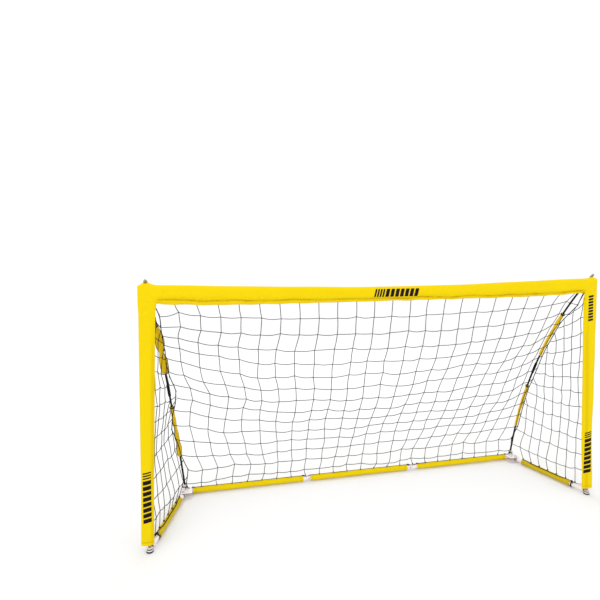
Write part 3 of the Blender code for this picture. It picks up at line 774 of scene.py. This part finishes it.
def base_sleeve(place, start, end, body, seed, ridge=1.0, mat=YELLOW):
    """A sleeve on a base tube, with its hems and the piping on its upper side that holds the net's cord."""
    start, end = np.asarray(start, float), np.asarray(end, float)
    long = np.linalg.norm(end - start)
    fine = 0.028 / long  # closer rings near both ends, for the hems
    share = np.concatenate([np.linspace(0, fine, 8)[:-1], np.linspace(fine, 1 - fine, int(long / 0.008)),
                            np.linspace(1 - fine, 1, 8)[1:]])

    def shape(a, t):
        p = np.stack([a, np.cos(t) * 0.02, np.sin(t) * 0.02], axis=-1)
        creases = ripple(p * (1, 1.6, 1.6), seed, 0.045, 0.00045)
        creases = creases + ripple(p * (0.2, 1, 1), seed + 1, 0.03, 0.0004)
        edge, lift = np.minimum(a, long - a), t - 2 * pi * (t > pi)
        hem = 0.0004 * (edge < 0.012) - 0.0008 * bell(edge - BASE_STITCH, 0.002)
        flare, piping = 0.0007 * bell(edge, 0.004), 0.0030 * ridge * bell(lift, 0.26)
        return np.minimum(creases, 0.0002) + hem + flare + piping - 0.0006 * bell(np.abs(lift) - pi, 0.5)

    path = start + (end - start) * share[:, None]
    verts, grid_a, grid_t = skin(path, UP, BASE_CLOTH_R, BASE_CLOTH_R, shape)
    verts[..., 2] = np.maximum(verts[..., 2], 0.0002)
    edge, lift = np.minimum(grid_a, long - grid_a), np.abs(np.where(grid_t > pi, grid_t - 2 * pi, grid_t))
    # painted shade along the hems' stitches and in the creases beside the piping
    shades = np.maximum(bell(edge - BASE_STITCH, 0.0013), 0.7 * bell(lift - 0.42, 0.07))
    obj = sewn_piece(place.replace("_", "_sleeve_cloth_"), verts, shades, mat)
    return attached(obj, place.replace("_", "_sleeve_"), body)


# For each strut's sleeve: how far up it is pinched, its half width below and above that, how far it is turned
# round its pole and stands off it, and its width when flat.
STRUT_SLEEVES = {
    ("left", "upper"): (0.42, 0.0175, 0.0205, 1.25, 0.004, 0.085),
    ("left", "lower"): (0.30, 0.0140, 0.0095, 0.75, 0.0, 0.066),
    ("right", "upper"): (0.55, 0.0165, 0.0165, 0.25, 0.0, 0.075),
    ("right", "lower"): (0.62, 0.0165, 0.0165, 0.35, 0.0, 0.075),
}


def strut_sleeve(word, place):
    """A flattened sleeve on a strut, drawn in where it is stitched to the net's seam cord."""
    pinch, low_half, high_half, turned, off, cut = STRUT_SLEEVES[word, place]
    bow, name = BOWS[word], f"strut_sleeve_{place}_{word}"
    low, high = bow.shares_of(name)
    share = np.linspace(low, high, 90)
    t = (share - low) / (high - low)
    seed = 200 + 10 * SIDES[word] + (place == "upper")
    broad = low_half + (high_half - low_half) * smoothstep(pinch - 0.1, pinch + 0.1, t)
    wide = broad - (broad - 0.0092) * bell(t - pinch, 0.10) - (broad - 0.0090) * smoothstep(0.72, 1.0, t)
    wide = wide + ripple(t[:, None], seed, 0.35, 0.0010)
    deep = 0.0084 + 0.0010 * bell(t - pinch, 0.09) + 0.0003 * smoothstep(0.9, 1, t)
    shift = 0.0030 * np.sin(t * 7 + seed) * (1 - smoothstep(0.92, 1, t)) * smoothstep(0, 0.08, t)
    aside = off * np.sin(pi * t) * (1 - bell(t - pinch, 0.14))
    turn = bow.turn(share)
    path = bow.at(turn, 0.0006 + shift * 0.2, aside)
    twist = turned + 0.30 * np.sin(3.1 * t + 0.6 * seed)
    ray = np.outer(np.cos(turn), bow.back) + np.outer(np.sin(turn), bow.rise)
    across = ray * np.cos(twist)[:, None] + bow.normal[None] * np.sin(twist)[:, None]
    long = length_of(path)

    def shape(a, angle):
        p = np.stack([a * 0.5, np.cos(angle) * 0.02, np.sin(angle) * 0.01], axis=-1)
        gathers = 0.0011 * bell(a / long - pinch, 0.10) * np.sin(angle * 7 + seed)
        hem = -0.0006 * bell(np.minimum(a, long - a) - STRUT_STITCH, 0.002)
        return np.maximum(ripple(p, seed + 5, 0.026, 0.0006) + gathers + hem, -0.0009)

    verts, grid_a, grid_t = skin(path, across, wide, deep, shape, 32)
    edge = np.minimum(grid_a, long - grid_a)
    # painted shade along the hems' stitches and at the sleeve's two folded edges
    shades = np.maximum(bell(edge - STRUT_STITCH, 0.0013), 0.9 * bell(np.sin(grid_t), 0.16))
    obj = sewn_piece(name + "_cloth", verts, shades, SHADED_STRUT_YELLOW)
    edging = Tubes()
    edging_r = TWINE_R * (1.0 if word == "left" else 0.6)
    for k, way in ((0, 1), (16, -1)):
        edging.cord(verts[2:-2:3, k] + across[2:-2:3] * 0.0011 * way, edging_r)
    edging.wraps(verts[-3].mean(0), path[-1] - path[-4], 0.0088, TWINE_R, 2.2)
    attached(edging.piece(f"strut_sleeve_edging_{place}_{word}", CORD))
    return attached(obj, name)


# Marks: plain slanted bars where the cloth is printed


def mark(name, cloth, place, turned, strokes, height, slant=0.18):
    """One mark on a finished cloth: strokes lists (start, width) along X, or up the post when turned."""
    tree = tree_of(cloth)
    verts, faces = [], []
    steps = np.linspace(0, 1, 9)
    for start, width in strokes:
        faces += [f[::-1] for f in grid_faces(9, 9, start=len(verts))]
        for i in steps:
            for j in steps:
                along, up = start + width * i + slant * height * j, height * j
                x, z = np.add(place, (up, along) if turned else (along, up))
                hit = tree.ray_cast(Vector((x, -2, z)), Vector((0, 1, 0)))[0]
                verts.append((x, (hit.y if hit else FRONT_Y - FACE_DEPTH) - 0.0006, z))
    obj = made_piece(name, verts, faces, INK)
    turned_out(obj)
    thicken(obj, 0.0003, 0)
    return attached(obj)


def bars(start, count, width, gap):
    """Even strokes for a mark."""
    return [(start + k * (width + gap), width) for k in range(count)]


# The net

CELLS_ACROSS, ROWS_DOWN = 24, 14  # of the rear panel
SIDE_CELLS, SIDE_ROWS = 8, 12
FIRST_ROW = 0.088  # from the crossbar's hem down
LAST_ROW = 0.55  # how much shorter the cells over the rear bar are, as a share of a row
SKIRT_TIE = 0.0012  # how far up in the crossbar's hem the columns start
SIDE_DROP = 0.115  # how much further down the seam cord than the post a side row reaches, high up
SIDE_SAG, SIDE_BULGE = 0.018, 0.012
NET_LOW = PIPING_Z + 0.0012  # height of the net's lower edge
GRIP_R = 0.0020  # radius of what a twine's end is wound round


def surface_finder(name):
    """A function that gives the middle of a CAD panel, looking along Y."""
    tree = tree_of(frame["nodes"][name])

    def find(x, z):
        hits = [tree.ray_cast(Vector((x, y, z)), Vector((0, way, 0)))[0] for y, way in ((-2, 1), (2, -1))]
        if None in hits:
            return tree.find_nearest(Vector((x, REAR_Y - 0.3 * z / 1.1 - 0.1, z)))[0].y
        return (hits[0].y + hits[1].y) / 2

    return find


def seam_at(word, z):
    """The seam cord's point at a height."""
    return looked_up(z, SEAMS[word][:, 2], SEAMS[word])


SEAMS = {word: bow.seam(60) for word, bow in BOWS.items()}


def rear_knots():
    """Places of the rear net's knots: one column for each cord, from the crossbar down to the rear bar."""
    find = surface_finder("rear_net")
    row = np.arange(ROWS_DOWN)
    columns = []
    for c in range(CELLS_ACROSS + 1):
        u = 2 * c / CELLS_ACROSS - 1
        word = "right" if u > 0 else "left"
        guess = u * (abs(seam_at(word, 1.12)[0]) - 0.004)
        top = float(skirt_z(guess)) + SKIRT_TIE
        zs = np.linspace(top, NET_LOW, 70)
        edge = seam_at(word, np.clip(zs, SEAMS[word][0, 2], SEAMS[word][-1, 2]))
        if c in (0, CELLS_ACROSS):
            line = np.stack([edge[:, 0], edge[:, 1], zs], axis=1)
        else:
            half = np.abs(edge[:, 0])
            inner = np.clip(u * half, 0.012 - half, half - 0.012)
            line = np.array([(x, find(float(i), float(z)), z) for x, i, z in zip(u * half, inner, zs)])
            line[:, 1] += (REAR_Y - line[-1, 1]) * smoothstep(0.14, 0.0, zs - NET_LOW)
            line[0, 1] = sum(face(guess, top + 0.002, layer)[1] for layer in (-1, 1)) / 2
        long = length_of(line)
        step = (long - FIRST_ROW) / (ROWS_DOWN - LAST_ROW)
        lifted = 0.050 * smoothstep(1, 3, row) * (1 - smoothstep(7, 13, row)) * bell(c, 4.0)
        columns.append(along_line(line, [0, *(FIRST_ROW + step * row - lifted), long]))
    return np.array(columns)


def relaxed(knots, rng):
    """Evens the panel out and gives the knots their small irregularities; the border stays where it is."""
    for _ in range(3):
        mean = (knots[:-2, 1:-1] + knots[2:, 1:-1] + knots[1:-1, :-2] + knots[1:-1, 2:]) / 4
        knots[1:-1, 1:-1, 1] += 0.5 * (mean[..., 1] - knots[1:-1, 1:-1, 1])
    flat = np.stack([knots[..., 0], knots[..., 2]], axis=-1)
    fade = np.ones(knots.shape[:2])
    fade[[0, -1]] = fade[:, [0, -1]] = 0
    fade[[1, -2]] *= 0.5
    fade[:, 1] *= 0.7
    column, row = np.indices(fade.shape)
    pulled = smoothstep(2, 3, row) * (1 - smoothstep(4, 8, row)) * (1 - smoothstep(6, 14, column))
    knots[..., 0] -= 0.020 * pulled * (column > 0)
    for axis, (size, jitter) in enumerate(((0.0050, 0.0020), (0.0070, 0.0030), (0.0045, 0.0022))):
        knots[..., axis] += fade * ripple(flat, 71 + axis, 0.38, size) * smoothstep(0, 5, row)
        knots[..., axis] += fade * rng.normal(size=fade.shape) * jitter
    return knots


def rear_net():
    """The rear panel: twines from knot to knot, wound round the cord in the rear bar's piping."""
    rng = np.random.default_rng(11)
    knots = relaxed(rear_knots(), rng)
    net = Tubes()
    for c in range(1, CELLS_ACROSS):
        line = knots[c].copy()
        line[0, 2] += 0.0010
        line[-1, 1:] = REAR_Y, NET_LOW
        net.cord(sagging(line, 0.0, 0.0011, rng), TWINE_R)
        net.wraps(line[-1] + (0, 0, 0.0022), (1, 0, 0), GRIP_R, TWINE_R * 0.9, 1.5)
    for r in range(1, ROWS_DOWN + 1):
        net.cord(sagging(knots[:, r], 0.0042, 0.0009, rng), TWINE_R)
        for c in range(1, CELLS_ACROSS):
            net.knot(knots[c, r], KNOT_R, knots[c, r] - knots[c, r - 1], seed=c + 3 * r)
    return attached(net.piece("rear_net_twine", TWINE), "rear_net")


def side_bar(word, slack=0.0):
    """A side bar's pin and front end, its direction, and how far along it its sleeve starts and ends. The CAD
    sleeve's box reaches past its ends on the centre line: slack is its half width, to take that off."""
    pin, foot = (np.array((*mid(f"{name}_{word}")[:2], BASE_Z)) for name in ("hinge_pin", "rubber_foot"))
    run = unit(foot - pin)
    low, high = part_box(f"side_sleeve_{word}")
    inset = slack * abs(run[0])
    first, last = ((pin[1] - y) / -run[1] for y in (high.y - inset, low.y + inset))
    return pin, foot, run, first, last


def side_knots(word, pin, front, low, rng):
    """For each of a side net's rows: its knots from the upright on, and where it meets the seam cord."""
    side, seam = SIDES[word], SEAMS[word]
    corner = pin * (1, 1, 0) + (0, 0, low)
    full = np.linalg.norm((corner - front)[:2])
    grid = []
    for r, z in enumerate(np.linspace(low, seam[-1, 2] - 0.042, SIDE_ROWS + 1)):
        rim = seam_at(word, max(z - SIDE_DROP * smoothstep(0.35, 1.0, z), seam[0, 2])) if r else corner
        post = front + (0, 0, z)
        wide = np.linalg.norm((rim - post)[:2])
        cell = full / SIDE_CELLS * (wide / full) ** 0.12
        line = []
        for k in range(int(np.floor(wide / cell - 0.25)) + 1):
            s = k * cell / wide
            sag = -SIDE_SAG * 4 * s * (1 - s) * (wide / full) if r else 0
            outward = side * SIDE_BULGE * sin(pi * s) * sin(pi * r / SIDE_ROWS)
            p = post + (rim - post) * s + (outward, 0, sag)
            if r and k:
                p = p + rng.normal(size=3) * (0.0030, 0.0035, 0.0035)
            line.append(p)
        grid.append((line, rim))
    return grid


def side_net(word):
    """The panel between an upright, its side bar and the seam cord: cords fan in towards the top corner."""
    rng = np.random.default_rng(31 + SIDES[word])
    pin, foot = side_bar(word)[:2]
    front = np.array((SIDES[word] * POST_X, FRONT_Y + 0.0150, 0.0))
    grid = side_knots(word, pin, front, NET_LOW + 0.003, rng)
    net = Tubes()
    for r, (line, rim) in enumerate(grid[1:], 1):
        net.cord(sagging([*line, rim], 0.0045, 0.0012, rng), TWINE_R)
        for k in range(1, len(line)):
            net.knot(line[k], KNOT_R, seed=r + k)
        net.knot(line[0], 0.0026, seed=r)
    for k in range(max(len(line) for line, _ in grid)):
        column = [line[k] for line, _ in grid if k < len(line)]
        if len(column) < len(grid):
            column.append(seam_at(word, column[-1][2] + 0.045))
        else:
            column.append(SEAMS[word][-1] - (0, 0, 0.004) if k else front + (0, 0, HEM_Z + 0.004))
        net.cord(sagging(column, 0.0, 0.0014, rng), TWINE_R if k else TWINE_R * 1.25)
        if k:
            net.wraps(column[0] - (0, 0, 0.001), foot - pin, GRIP_R, TWINE_R * 0.9, 1.5)
    obj = net.piece(f"side_net_twine_{word}", TWINE)
    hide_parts(f"side_net_{word}")
    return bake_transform(obj)


def seam_cord(word):
    """The heavier cord down each rear edge of the net, knotted where the net's rows meet it."""
    side, line, rng = SIDES[word], SEAMS[word][::-1], np.random.default_rng(91 + SIDES[word])
    ties = along_line(line, np.linspace(0.02, length_of(line) - 0.03, 15))
    ties += rng.normal(size=ties.shape) * 0.0011
    top = np.array((side * (INNER_X + 0.004), FRONT_Y + 0.006, HEM_Z + 0.004))
    socket = mid(f"strut_socket_{word}")
    bottom = np.array((socket.x - side * 0.0145, socket.y - 0.008, 0.0465))
    whole = np.array([top, *ties, bottom])
    tubes = Tubes().cord(sagging(whole, 0.0, 0.0006, rng, 5), CORD_R, 8)
    for k, tie in enumerate(ties):
        tubes.knot(tie, 0.0041, whole[k + 2] - whole[k], seed=k)
    tubes.wraps((socket.x, socket.y, 0.0470), UP, 0.0112, CORD_R * 0.7, 1.2)
    tubes.knot(bottom, 0.0056, (1, 0, 0), seed=4)
    tubes.tail(bottom, [(side * 0.006, -0.012, 0.004), (side * 0.010, -0.020, -0.006)], CORD_R * 0.8)
    return attached(tubes.piece(f"seam_cord_tied_{word}", CORD), f"seam_cord_{word}")


def rear_edge_cord():
    """The net's lower cord: it runs in the sleeves' piping and shows between them."""
    z = PIPING_Z
    left, right = (mid(f"strut_socket_{word}").x for word in SIDES)
    ends = [tuple(corner.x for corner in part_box(f"rear_sleeve_{w}")) for w in ("left", "middle", "right")]
    (a0, b0), (_, b1), (a2, b2) = ends
    points = [(left + 0.018, REAR_Y - 0.004, z + 0.003), (a0 - 0.016, REAR_Y - 0.001, z - 0.003)]
    for k, (a, b) in enumerate(ends):
        points += [(x, REAR_Y, z) for x in (a + 0.006, a + 0.05, b - 0.05, b - 0.006)]
        if k < 2:
            points.append(((b + ends[k + 1][0]) / 2, REAR_Y - 0.001, z - 0.005))
    points += [(b2 + 0.016, REAR_Y - 0.001, z - 0.003), (right - 0.018, REAR_Y - 0.004, z + 0.003)]
    tubes = Tubes().cord(curve(points, 8), CORD_R * 0.95, 8)
    for x in (b0 - 0.002, b1 + 0.004, a2 + 0.001, b2 + 0.003, a0 - 0.003):
        tie = np.array((x, REAR_Y, z))
        tubes.knot(tie + (0, 0, 0.0005), 0.0052, (1, 0, 0), seed=int(x * 100))
        tubes.tail(tie, [(0.006, -0.003, 0.004), (0.013, -0.006, 0.001)], CORD_R * 0.7)
    return attached(tubes.piece("rear_edge_cord_laced", CORD), "rear_edge_cord")


def side_edge_cord(word):
    """The cord along a side bar: in the piping at both ends, and out on the sleeve between them."""
    side = SIDES[word]
    pin, foot, run, first, last = side_bar(word)
    inner = unit(np.array((-side, 0, 0)) - run * (-side * run[0]))
    points = []
    for share in np.linspace(0, 1, 15):
        out = smoothstep(0.10, 0.26, share) * (1 - smoothstep(0.80, 0.92, share))
        spot = pin + run * (first + (last - first) * share) + UP * (PIPING_Z - BASE_Z - 0.0016 * out)
        points.append(spot + inner * 0.0062 * out)
    points[0] = points[0] + run * 0.008
    tie = points[-1] + run * 0.004
    tubes = Tubes().cord(curve([*points, tie], 6), CORD_R, 8)
    tubes.knot(tie, 0.0066, run, seed=2)
    tubes.wraps(pin + run * (last + 0.006), run, 0.0126, CORD_R * 0.75, 2.0, start_angle=1.0)
    post = pin + run * (np.linalg.norm(foot - pin) - 0.020) + (0, 0, 0.030)
    tubes.cord(curve([tie, (tie + post) / 2 + (0, 0, -0.006), post], 10), CORD_R * 0.62)
    steps = ((0.008, 0.006, 0.004), (0.014, 0.010, -0.007))
    tubes.tail(tie, [run * a + inner * b + UP * c for a, b, c in steps], CORD_R * 0.62)
    obj = tubes.piece(f"side_edge_cord_laced_{word}", CORD)
    return attached(obj, f"side_edge_cord_{word}", f"side_bar_{word}")


# Stitches and eyelets


def sewing():
    """Rows of short stitches: two over the crossbar's hem and one round each upright's hem."""
    pitch, length = 0.0046, 0.0032
    xs = np.linspace(-INNER_X + 0.012, INNER_X - 0.012, 900)
    rows = [(xs, stitch_z(xs) - drop, layer) for layer in (-1, 1) for drop in (0.0, 0.0042)]
    for side in (-1, 1):
        inner, outer = post_edges(side, UPRIGHT_FOOT)
        xs = side * np.linspace(inner + 0.005, outer - 0.005, 60)
        rows += [(xs, np.full_like(xs, FOOT_STITCH), layer) for layer in (-1, 1)]
    tubes = Tubes()
    for xs, zs, layer in rows:
        line = face(xs, zs, layer) + (0, layer * 0.0003, 0)
        starts = np.arange(int(length_of(line) / pitch)) * pitch
        for p, q in zip(along_line(line, starts), along_line(line, starts + length)):
            tubes.cord([p, (p + q) / 2, q], 0.00045, 4)
    return attached(tubes.piece("front_stitching", THREAD))


def tip_eyelet(word):
    """The bound opening that a strut's cap stands out of."""
    bow = BOWS[word]
    tip = bow.point(1.0)
    direction = unit(tip - bow.point(0.98))
    height = float(head_z(tip[0])) - 0.001
    share = 1 - (tip[2] - height) / max(direction[2], 0.2) / (bow.radius * (bow.last - bow.first))
    u, v = ring_axes(direction, (1, 0, 0))
    ring = [bow.point(share) + (u * cos(a) + v * sin(a)) * 0.0082 for a in np.linspace(0, 2 * pi, 25)]
    return attached(Tubes().cord(ring, 0.0011, 6).piece(f"tip_eyelet_{word}", THREAD))


CUP_PROFILE = (  # height over the bracket, and radius
    (0.0, 0.0078), (0.0, 0.0142), (0.0022, 0.0148), (0.0048, 0.0136), (0.0060, 0.0112), (0.0200, 0.0106),
    (0.0212, 0.0114), (0.0240, 0.0114), (0.0252, 0.0104), (0.0256, 0.0084), (0.0240, 0.0070),
    (0.0030, 0.0070),
)


def socket_cup(word):
    """The moulded cup that a strut stands in: a flared foot, a collar and a rounded rim."""
    bow, name, sides = BOWS[word], f"strut_socket_{word}", 32
    rise = unit(bow.point(0.04) - bow.point(0.0))
    base = mid(name)
    base = np.array(base) + rise * (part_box(name)[0].z + 0.0004 - base.z) / rise[2]
    u, v = ring_axes(rise, (0, 1, 0))
    turns = np.arange(sides) * 2 * pi / sides
    verts = [base + rise * a + (u * cos(t) + v * sin(t)) * r for a, r in CUP_PROFILE for t in turns]
    faces = grid_faces(len(CUP_PROFILE), sides, wrap=True)
    last = (len(CUP_PROFILE) - 1) * sides
    faces += [(last + k, last + (k + 1) % sides, (k + 1) % sides, k) for k in range(sides)]
    obj = made_piece(f"strut_socket_cup_{word}", verts, faces, WHITE)
    turned_out(obj)
    obj.data.set_sharp_from_angle(angle=radians(40))
    return attached(obj, name)


FINISHES = (  # words in a CAD node's name, and its slot and finish
    (("foot_cup",), "white_powder_coat", CUP_WHITE),
    (("tube", "bracket", "socket"), "white_powder_coat", WHITE),
    (("strut_ferrule",), "bare_steel", BLACKENED),
    (("pole",), "black_fibreglass", BLACK),
    (("cap", "upright_ferrule", "button"), "dull_brass", BRASS),
    (("rubber",), "black_rubber", RUBBER),
    (("sleeve",), "yellow_polyester", YELLOW),
    (("net",), "net_twine", TWINE),
    (("cord",), "edge_cord", CORD),
    (("",), "bare_steel", STEEL),
)


def dress_cad():
    """Gives every CAD node its finish."""
    for name, obj in frame["nodes"].items():
        slot_name, finish = next(row[1:] for row in FINISHES if any(word in name for word in row[0]))
        obj.data.materials.clear()
        obj.data.materials.append(finish)


def cloth_pieces():
    """Makes all the cloth and what goes with it. The result is the cloths that carry marks."""
    cloths = {"bar": crossbar_sleeve()}
    attached(cloths["bar"], "crossbar_sleeve")
    for word, side in SIDES.items():
        post = cloths[word] = upright_sleeve(word, side)
        attached(post, f"upright_sleeve_{word}")
        for place in ("upper", "lower"):
            strut_sleeve(word, place)
        tip_eyelet(word)
        socket_cup(word)
        pin, _, run, first, last = side_bar(word, CAD_SLEEVE_HALF)
        base_sleeve(f"side_{word}", pin + run * first, pin + run * last, f"side_bar_{word}", 300 + side, 0.8,
                    SHADED_YELLOW)
    for k, word in enumerate(("left", "middle", "right")):
        start, end = ((corner.x, REAR_Y, BASE_Z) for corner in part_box(f"rear_sleeve_{word}"))
        base_sleeve(f"rear_{word}", start, end, "frame", 320 + 7 * k)
    return cloths


def marks(cloths):
    """Plain slanted bars: a mark over the crossbar, one low on each upright and a small one near the top."""
    left, right = post_edges(-1, 0.26)[0], post_edges(1, 0.26)[0]
    low = bars(0, 8, 0.0185, 0.0070) + bars(0.205, 3, 0.0060, 0.0060)
    mark("mark_crossbar", cloths["bar"], (-0.104, BAR_SLEEVE_LOW + 0.0225), False,
         bars(0, 4, 0.0085, 0.0055) + bars(0.058, 7, 0.0185, 0.0075), 0.040, 0.22)
    mark("mark_upright_left", cloths["left"], (-left - 0.0475, 0.141), True, low, 0.036)
    mark("mark_upright_right", cloths["right"], (right + 0.010, 0.125), True, low, 0.044)
    mark("mark_upright_top", cloths["right"], (right + 0.012, 0.995), True, bars(0, 9, 0.0110, 0.0055), 0.030)


def studio():
    """A bright white studio, and the camera that was fitted to the photograph."""
    scene = bpy.context.scene
    scene.view_settings.view_transform = "Standard"
    scene.view_settings.look = "None"
    world = bpy.data.worlds.new("studio")
    scene.world = world
    world.use_nodes = True
    background = world.node_tree.nodes["Background"]
    background.inputs["Color"].default_value = (1.0, 1.0, 1.0, 1)
    background.inputs["Strength"].default_value = 1.03
    corners = [(x * 30, y * 30, 0) for x, y in ((-1, -1), (1, -1), (1, 1), (-1, 1))]
    floor = made_piece("floor", corners, [(0, 1, 2, 3)], floor_finish(), flat=True)
    floor.location.z = -0.0005
    for name, place, size, power, colour in (
        ("key", (-2.6, -3.4, 4.2), 4.0, 70, (1, 0.985, 0.96)),
        ("fill", (3.4, -3.0, 2.6), 3.5, 22, (0.96, 0.98, 1)),
        ("back", (0.5, 3.5, 3.6), 3.5, 40, (1, 1, 1)),
    ):
        light = bpy.data.lights.new(name, "AREA")
        light.shape, light.size, light.energy, light.color = "DISK", size, power, colour
        lamp = bpy.data.objects.new(name, light)
        lamp.location = place
        lamp.rotation_euler = (Vector((0, 0, 0.5)) - Vector(place)).to_track_quat("-Z", "Y").to_euler()
        scene.collection.objects.link(lamp)
    lens = bpy.data.cameras.new("camera")
    camera = bpy.data.objects.new("camera", lens)
    camera.location = (-0.9235, FRONT_Y - 2.435, 1.381)
    camera.rotation_euler = (radians(90 - 2.87), 0, radians(-13.96))
    lens.sensor_width, lens.lens = 36, 30.78
    lens.shift_x, lens.shift_y = -0.0533, -0.0367
    scene.collection.objects.link(camera)
    scene.camera = camera


marks(cloth_pieces())
sewing()
rear_net()
for word in SIDES:
    side_net(word)
    seam_cord(word)
    side_edge_cord(word)
rear_edge_cord()
dress_cad()
studio()
